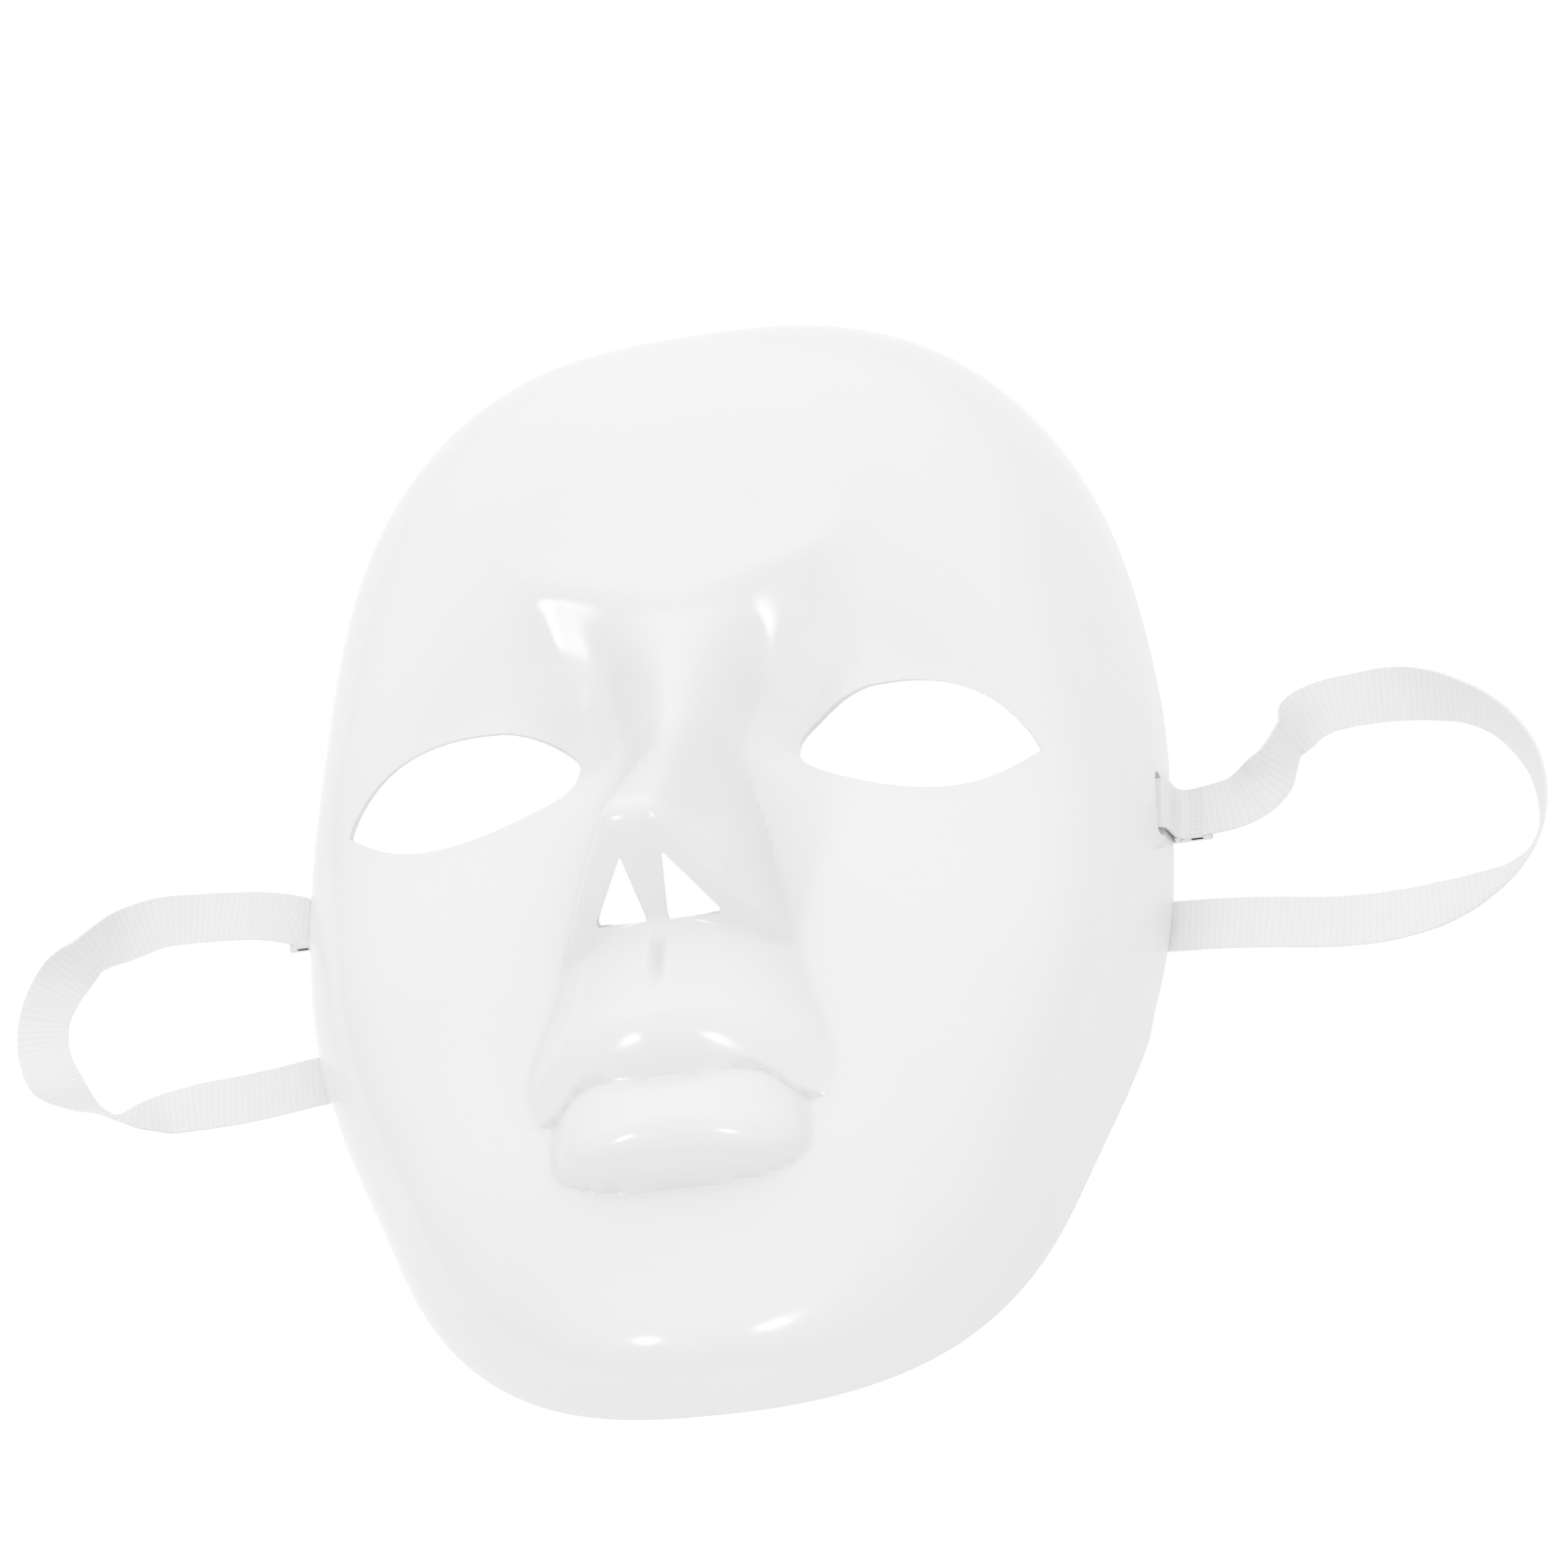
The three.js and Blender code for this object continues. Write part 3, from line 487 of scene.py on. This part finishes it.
def build_ribbon(side, free_run, name):
    """A woven band along its stations, a little thicker at its edges, and the weld that closes its loop."""
    loop = [(side * x, v, z, lean) for x, v, z, lean in RIM_LOOP]
    stations = np.array(loop + list(free_run), float)
    line, place = centripetal(stations[:, :3], CURVE_STEPS)
    line, place, along = even_steps(line, place, RIBBON_STEP)
    lean = np.radians(np.interp(place, np.arange(len(stations)), stations[:, 3]))
    tangent = np.gradient(line, axis=0)
    tangent /= np.linalg.norm(tangent, axis=1)[:, None]
    level = np.stack([-tangent[:, 1], tangent[:, 0], np.zeros(len(line))], axis=1) * side
    level /= np.maximum(np.linalg.norm(level, axis=1), 1e-6)[:, None]
    level[place <= len(loop)] = (0, 1, 0)
    wide = level * np.cos(lean)[:, None]
    wide[:, 2] += np.sin(lean)
    wide -= tangent * (wide * tangent).sum(1)[:, None]
    wide /= np.linalg.norm(wide, axis=1)[:, None]
    thick = np.cross(tangent, wide)
    across = np.linspace(-1, 1, RIBBON_CELLS + 1)
    section = 0.5 * RIBBON_THICK * mix(RIBBON_SECTION.middle, 1, np.abs(across) ** RIBBON_SECTION.power)
    points = []
    uv = []
    ring = 2 * (RIBBON_CELLS + 1)
    for i in range(len(line)):
        for face, order in ((1, 1), (-1, -1)):
            for a, h in zip(across[::order], section[::order]):
                points.append(line[i] + wide[i] * a * RIBBON_WIDTH / 2 + thick[i] * face * h)
                uv.append((along[i] * MM, (0.5 + 0.5 * a) * RIBBON_WIDTH * MM))
    faces = []
    for i in range(len(line) - 1):
        for c in range(ring):
            d = (c + 1) % ring
            faces.append((i * ring + c, i * ring + d, (i + 1) * ring + d, (i + 1) * ring + c))
    for first in (0, (len(line) - 1) * ring):
        for c in range(RIBBON_CELLS):
            quad = (first + c, first + ring - 1 - c, first + ring - 2 - c, first + c + 1)
            faces.append(quad if first == 0 else quad[::-1])
    for block in WELDS:
        more, quads = weld_block(side, *block)
        faces += [tuple(k + len(points) for k in quad) for quad in quads]
        points += [np.array(p) for p in more]
        uv += [(p[0] * MM, p[1] * MM) for p in more]
    piece = new_object(name, to_row(points), faces, uv)
    return piece, to_row(line)


def turn_outwards(piece):
    """Turns every face of a closed mesh outwards."""
    work = bmesh.new()
    work.from_mesh(piece.data)
    bmesh.ops.recalc_face_normals(work, faces=work.faces)
    work.to_mesh(piece.data)
    work.free()


def near(place, c):
    """How much finer the mesh is at c, for being close to a place."""
    return place.by * bump((c - place.at) / place.span)


def spread(count, place):
    """Stations from -1 to 1, closer together near the place and near both ends."""
    middle = -1 + 2 * (np.arange(SPREAD_STEPS) + 0.5) / SPREAD_STEPS
    density = 1 + near(place, middle) + near(RIM_FINENESS, np.abs(middle))
    sums = np.concatenate([[0], np.cumsum(density)])
    shares = sums[-1] * np.arange(count + 1) / count
    return np.interp(shares, sums, np.linspace(-1, 1, SPREAD_STEPS + 1))


def plan_point(a, b):
    """A point of the square grid, -1 to 1 both ways, carried to the outline's plan."""
    dx = a * np.sqrt(1 - b * b / 2)
    dy = b * np.sqrt(1 - a * a / 2)
    r = np.maximum(np.hypot(dx, dy), 1e-9)
    power = np.where(dy < 0, CHIN_POWER, CROWN_POWER)
    out = (np.abs(dx / r) ** power + np.abs(dy / r) ** power) ** (-1 / power)
    v = MID_V + dy * out * np.where(dy < 0, CHIN_REACH, CROWN_REACH)
    return dx * out * half_width(v), v


def evenly(loop, step):
    """A closed loop again, with points about one step apart."""
    loop = np.asarray(loop, float)
    closed = np.vstack([loop, loop[:1]])
    along = np.concatenate([[0], np.cumsum(np.linalg.norm(np.diff(closed, axis=0), axis=1))])
    at = np.linspace(0, along[-1], max(12, int(round(along[-1] / step))), endpoint=False)
    return np.stack([np.interp(at, along, closed[:, k]) for k in range(2)], axis=1)


def eye_loop(side):
    """The almond: two edges that swell from a chord between the corners."""
    t = 0.5 - 0.5 * np.cos(np.linspace(0, np.pi, EYE_POINTS))
    chord = mix(EYE_INNER_V, EYE_OUTER_V, t)
    swell = clamp(4 * t * (1 - t), 0, 1)
    upper = chord + EYE_UPPER.reach * swell ** (EYE_UPPER.blunt + EYE_UPPER.taper * t * t)
    lower = chord - EYE_LOWER.reach * swell ** (EYE_LOWER.blunt + EYE_LOWER.taper * t)
    u = EYE_INNER + EYE_LENGTH * t
    edge = np.concatenate([np.stack([u, upper], 1), np.stack([u, lower], 1)[::-1][1:-1]])
    return evenly(edge * (side, 1), HOLE_STEP)


def nostril_loop(side):
    """The triangle with round corners."""
    corners = np.array(NOSTRIL)
    loop = []
    for k, corner in enumerate(corners):
        before = corners[k - 1] - corner
        after = corners[(k + 1) % 3] - corner
        before /= np.linalg.norm(before)
        after /= np.linalg.norm(after)
        half_angle = 0.5 * math.acos(float(before @ after))
        bisector = (before + after) / np.linalg.norm(before + after)
        centre = corner + bisector * NOSTRIL_CORNER / math.sin(half_angle)
        start = corner + before * NOSTRIL_CORNER / math.tan(half_angle) - centre
        end = corner + after * NOSTRIL_CORNER / math.tan(half_angle) - centre
        for t in np.linspace(0, 1, CORNER_POINTS):
            arm = mix(start, end, t)
            loop.append(centre + arm * NOSTRIL_CORNER / np.linalg.norm(arm))
    return evenly(np.array(loop) * (side, 1), NOSTRIL_STEP)


def in_loop(loop, x, v):
    """Which points lie inside a closed loop."""
    inside = np.zeros(len(x), bool)
    for (x0, v0), (x1, v1) in zip(loop, np.roll(loop, 1, axis=0)):
        crosses = (v0 > v) != (v1 > v)
        inside ^= crosses & (x < (x1 - x0) * (v - v0) / (v1 - v0 + 1e-12) + x0)
    return inside


def near_loop(loop, x, v, gap):
    """Which points lie closer than the gap to a loop's points."""
    close = np.zeros(len(x), bool)
    for p in loop:
        close |= (x - p[0]) ** 2 + (v - p[1]) ** 2 < gap * gap
    return close


def shell_plan():
    """The outer face's points in plan, its triangles, and the loops of its rim and holes."""
    a, b = np.meshgrid(spread(CELLS_ACROSS, MIDDLE_FINENESS), spread(CELLS_ALONG, MOUTH_FINENESS))
    x, v = plan_point(a, b)
    on_rim = np.zeros(a.shape, bool)
    on_rim[0] = on_rim[-1] = True
    on_rim[:, 0] = on_rim[:, -1] = True
    rim = [*zip(x[0, :-1], v[0, :-1]), *zip(x[:-1, -1], v[:-1, -1]),
           *zip(x[-1, :0:-1], v[-1, :0:-1]), *zip(x[:0:-1, 0], v[:0:-1, 0])]
    x, v = x[~on_rim], v[~on_rim]
    loops = [np.array(rim)]
    for side in (-1, 1):
        for loop in (eye_loop(side), nostril_loop(side)):
            step = np.linalg.norm(loop[1] - loop[0])
            keep = ~(in_loop(loop, x, v) | near_loop(loop, x, v, HOLE_CLEARANCE * step))
            x, v = x[keep], v[keep]
            loops.append(loop)
    points = [*np.concatenate(loops), *np.stack([x, v], 1)]
    edges = []
    first = 0
    rows = []
    for loop in loops:
        rows.append(np.arange(first, first + len(loop)))
        edges += [(first + k, first + (k + 1) % len(loop)) for k in range(len(loop))]
        first += len(loop)
    made = delaunay_2d_cdt([Vector(p) for p in points], edges, [], 0, 1e-7)
    plan = np.array([tuple(p) for p in made[0]])
    assert len(plan) == len(points)
    triangles = np.array(made[2])
    order = np.array([ids[0] for ids in made[3]])
    place = np.empty(len(points), int)
    place[order] = np.arange(len(points))
    rows = [place[row] for row in rows]
    centre = plan[triangles].mean(axis=1)
    keep = in_loop(loops[0], centre[:, 0], centre[:, 1])
    for loop in loops[1:]:
        keep &= ~in_loop(loop, centre[:, 0], centre[:, 1])
    return plan, triangles[keep], rows


def face_normals(points, triangles):
    """A normal for each triangle, as long as twice its area."""
    p, q, r = (points[triangles[:, k]] for k in range(3))
    return np.cross(q - p, r - p)


def vertex_normals(points, triangles):
    """Unit normals of the outer face, weighted by the triangles' areas."""
    faces = face_normals(points, triangles)
    total = np.zeros(points.shape)
    for k in range(3):
        np.add.at(total, triangles[:, k], faces)
    return total / np.maximum(np.linalg.norm(total, axis=1), 1e-12)[:, None]


def build_shell():
    """Outer face, inner face one wall below it, a flat rim and hole edges between, then the slots."""
    plan, triangles, loops = shell_plan()
    points = np.column_stack([plan, face_height(plan[:, 0], plan[:, 1])])
    up = face_normals(points, triangles)[:, 2] > 0
    triangles[~up] = triangles[~up][:, ::-1]
    blurred = vertex_normals(points, triangles)
    for _ in range(WALL_BLURS):
        total = np.zeros(blurred.shape)
        for k in range(3):
            for j in range(3):
                np.add.at(total, triangles[:, k], blurred[triangles[:, j]])
        blurred = total / np.linalg.norm(total, axis=1)[:, None]
    rim = loops[0]
    blurred[rim, 2] = 0
    blurred[rim] /= np.linalg.norm(blurred[rim], axis=1)[:, None]
    inner = points - blurred * WALL
    count = len(points)
    faces = [*triangles, *(triangles[:, ::-1] + count)]
    for row in loops:
        for k, p in enumerate(row):
            q = row[(k + 1) % len(row)]
            faces.append((p, q, q + count, p + count))
    shell = new_object("shell", to_row(np.vstack([points, inner])), faces)
    turn_outwards(shell)
    cut_slots(shell)
    for polygon in shell.data.polygons:
        polygon.use_smooth = True
    shell.data.set_sharp_from_angle(angle=math.radians(SHELL_SHARP))
    return shell


def slot_bar(side):
    """A bar with round ends, lying across the side wall."""
    n = SLOT_SIDES
    half = SLOT_LENGTH / 2 - SLOT_HEIGHT / 2
    loop = []
    for k in range(n):
        turn = 2 * math.pi * (k + 0.5) / n
        offset = half if math.cos(turn) > 0 else -half
        loop.append((SLOT_V + offset + math.cos(turn) * SLOT_HEIGHT / 2,
                     SLOT_Z + math.sin(turn) * SLOT_HEIGHT / 2))
    points = [(x * side, v, z) for x in SLOT_CUT for v, z in loop]
    faces = [(k, (k + 1) % n, n + (k + 1) % n, n + k) for k in range(n)]
    faces += [tuple(range(n))[::-1], tuple(range(n, 2 * n))]
    bar = new_object("slot_cutter", to_row(points), faces)
    turn_outwards(bar)
    return bar


def cut_slots(shell):
    """Cuts the ribbon's slot through each side wall."""
    for side in (-1, 1):
        bar = slot_bar(side)
        cut = shell.modifiers.new("cut", "BOOLEAN")
        cut.operation = "DIFFERENCE"
        cut.solver = "EXACT"
        cut.object = bar
        depsgraph = bpy.context.evaluated_depsgraph_get()
        made = bpy.data.meshes.new_from_object(shell.evaluated_get(depsgraph))
        shell.modifiers.clear()
        old = shell.data
        shell.data = made
        bpy.data.meshes.remove(old)
        bpy.data.objects.remove(bar)


def node(tree, kind, **values):
    """A new node with these settings."""
    made = tree.nodes.new(kind)
    for key, value in values.items():
        setattr(made, key, value)
    return made


def set_inputs(made, values):
    for socket, value in values.items():
        made.inputs[socket].default_value = value


def two_tones(tree, form):
    """A colour ramp between a form's low and high tones."""
    tone = node(tree, "ShaderNodeValToRGB")
    for stop, at, colour in zip(tone.color_ramp.elements, form.between, (form.low, form.high)):
        stop.position = at
        stop.color = colour
    return tone


def new_material(name):
    material = bpy.data.materials.new(name)
    material.use_nodes = True
    return material, material.node_tree, material.node_tree.nodes["Principled BSDF"]


def plastic():
    """Glossy white moulded plastic: a very slight wave and a few faint specks."""
    material, tree, shader = new_material("white_plastic")
    shader.inputs["IOR"].default_value = PLASTIC.ior
    place = node(tree, "ShaderNodeTexCoord")
    cloud = node(tree, "ShaderNodeTexNoise")
    set_inputs(cloud, {"Scale": PLASTIC.cloud, "Detail": PLASTIC.detail})
    tone = two_tones(tree, PLASTIC)
    cells = node(tree, "ShaderNodeTexVoronoi", feature="F1")
    cells.inputs["Scale"].default_value = SPECKS.scale
    chance = node(tree, "ShaderNodeMath", operation="GREATER_THAN")
    chance.inputs[1].default_value = SPECKS.rarity
    dot = node(tree, "ShaderNodeMapRange")
    set_inputs(dot, {"From Min": SPECKS.edge[0], "From Max": SPECKS.edge[1]})
    speck = node(tree, "ShaderNodeMath", operation="MULTIPLY")
    strength = node(tree, "ShaderNodeMath", operation="MULTIPLY")
    strength.inputs[1].default_value = SPECKS.strength
    tint = node(tree, "ShaderNodeMix", data_type="RGBA")
    tint.inputs["B"].default_value = SPECKS.tone
    gloss = node(tree, "ShaderNodeMapRange")
    set_inputs(gloss, {"To Min": PLASTIC.roughness[0], "To Max": PLASTIC.roughness[1]})
    fine = node(tree, "ShaderNodeTexNoise")
    set_inputs(fine, {"Scale": WAVE.scale, "Detail": WAVE.detail})
    relief = node(tree, "ShaderNodeBump")
    set_inputs(relief, {"Strength": WAVE.strength, "Distance": WAVE.depth})
    link = tree.links.new
    for texture in (cloud, cells, fine):
        link(place.outputs["Object"], texture.inputs["Vector"])
    link(cloud.outputs["Fac"], tone.inputs["Fac"])
    link(cells.outputs["Color"], chance.inputs[0])
    link(cells.outputs["Distance"], dot.inputs["Value"])
    link(chance.outputs[0], speck.inputs[0])
    link(dot.outputs["Result"], speck.inputs[1])
    link(speck.outputs[0], strength.inputs[0])
    link(strength.outputs[0], tint.inputs["Factor"])
    link(tone.outputs["Color"], tint.inputs["A"])
    link(tint.outputs["Result"], shader.inputs["Base Color"])
    link(cloud.outputs["Fac"], gloss.inputs["Value"])
    link(gloss.outputs["Result"], shader.inputs["Roughness"])
    link(fine.outputs["Fac"], relief.inputs["Height"])
    link(relief.outputs["Normal"], shader.inputs["Normal"])
    return material


def satin():
    """Fine white woven ribbon: cross ribs, a faint lengthwise grain and a little fuzz."""
    material, tree, shader = new_material("white_ribbon")
    set_inputs(shader, {"Roughness": SATIN.roughness, "Sheen Weight": SATIN.sheen,
                        "Sheen Roughness": SATIN.sheen_roughness})
    place = node(tree, "ShaderNodeUVMap", uv_map="UVMap")
    ribs = node(tree, "ShaderNodeTexWave", wave_type="BANDS", bands_direction="X")
    set_inputs(ribs, {"Scale": RIBS.scale, "Distortion": RIBS.distortion})
    grain = node(tree, "ShaderNodeTexWave", wave_type="BANDS", bands_direction="Y")
    set_inputs(grain, {"Scale": GRAIN.scale, "Distortion": GRAIN.distortion})
    weave = node(tree, "ShaderNodeMix", data_type="FLOAT")
    weave.inputs["Factor"].default_value = GRAIN.share
    cloud = node(tree, "ShaderNodeTexNoise")
    cloud.inputs["Scale"].default_value = FUZZ.scale
    tone = two_tones(tree, SATIN)
    both = node(tree, "ShaderNodeMix", data_type="FLOAT")
    both.inputs["Factor"].default_value = FUZZ.share
    relief = node(tree, "ShaderNodeBump")
    set_inputs(relief, {"Strength": WEAVE.strength, "Distance": WEAVE.depth})
    link = tree.links.new
    for texture in (ribs, grain, cloud):
        link(place.outputs["UV"], texture.inputs["Vector"])
    link(ribs.outputs["Fac"], weave.inputs["A"])
    link(grain.outputs["Fac"], weave.inputs["B"])
    link(weave.outputs["Result"], both.inputs["A"])
    link(cloud.outputs["Fac"], both.inputs["B"])
    link(both.outputs["Result"], tone.inputs["Fac"])
    link(tone.outputs["Color"], shader.inputs["Base Color"])
    link(weave.outputs["Result"], relief.inputs["Height"])
    link(relief.outputs["Normal"], shader.inputs["Normal"])
    return material


def floor():
    """A plain pale floor, bright by itself so that it stays even."""
    corners = [(x * FLOOR.half, y * FLOOR.half, FLOOR.z) for x, y in ((-1, -1), (1, -1), (1, 1), (-1, 1))]
    piece = new_object("floor", corners, [(0, 1, 2, 3)])
    material, _, shader = new_material("pale_floor")
    set_inputs(shader, {"Base Color": FLOOR.tone, "Roughness": FLOOR.roughness,
                        "Specular IOR Level": FLOOR.specular, "Emission Color": WHITE,
                        "Emission Strength": FLOOR.glow})
    piece.data.materials.append(material)


def sky():
    """An even glow all round: for each axis and side a share that grows with the direction's part of it."""
    world = bpy.data.worlds.new("studio")
    world.use_nodes = True
    tree = world.node_tree
    place = node(tree, "ShaderNodeTexCoord")
    axes = node(tree, "ShaderNodeSeparateXYZ")
    link = tree.links.new
    link(place.outputs["Generated"], axes.inputs[0])
    glow = None
    for axis, way, share in SKY:
        signed = node(tree, "ShaderNodeMath", operation="MULTIPLY")
        signed.inputs[1].default_value = way
        link(axes.outputs[axis], signed.inputs[0])
        term = node(tree, "ShaderNodeMath", operation="MAXIMUM")
        term.inputs[1].default_value = 0
        link(signed.outputs[0], term.inputs[0])
        total = node(tree, "ShaderNodeMath", operation="MULTIPLY_ADD")
        total.inputs[1].default_value = share
        total.inputs[2].default_value = 0
        link(term.outputs[0], total.inputs[0])
        if glow:
            link(glow, total.inputs[2])
        glow = total.outputs[0]
    background = tree.nodes["Background"]
    background.inputs["Color"].default_value = WHITE
    link(glow, background.inputs["Strength"])
    bpy.context.scene.world = world


def softbox(name, yaw, pitch):
    """A round softbox on the chin side, turned to the mask."""
    data = bpy.data.lights.new(name, "AREA")
    data.shape = "DISK"
    data.size = SOFTBOX.size
    data.energy = SOFTBOX.energy
    light = bpy.data.objects.new(name, data)
    bpy.context.collection.objects.link(light)
    direction = Vector((math.tan(math.radians(yaw)), -math.tan(math.radians(pitch)), 1)).normalized()
    turn = direction.to_track_quat("Z", "Y").to_matrix().to_4x4()
    light.matrix_world = Matrix.Translation(Vector(SOFTBOX.aim) + direction * SOFTBOX.distance) @ turn


set_camera()

white_ribbon = satin()
for side_name, ribbon_side, free_run in (("right", 1, RIGHT_RUN), ("left", -1, LEFT_RUN)):
    ribbon, route = build_ribbon(ribbon_side, free_run, "tie_" + side_name)
    turn_outwards(ribbon)
    for face in ribbon.data.polygons:
        face.use_smooth = True
    ribbon.data.set_sharp_from_angle(angle=math.radians(RIBBON_SHARP))
    ribbon.data.materials.append(white_ribbon)
    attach(ribbon, "root")
    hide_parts("ribbon_" + side_name)

mask = build_shell()
mask.data.materials.append(plastic())
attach(mask, "root")
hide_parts("mask_shell")

floor()
sky()
for softbox_name, softbox_yaw, softbox_pitch in SOFTBOXES:
    softbox(softbox_name, softbox_yaw, softbox_pitch)
bpy.context.scene.view_settings.view_transform = "Standard"
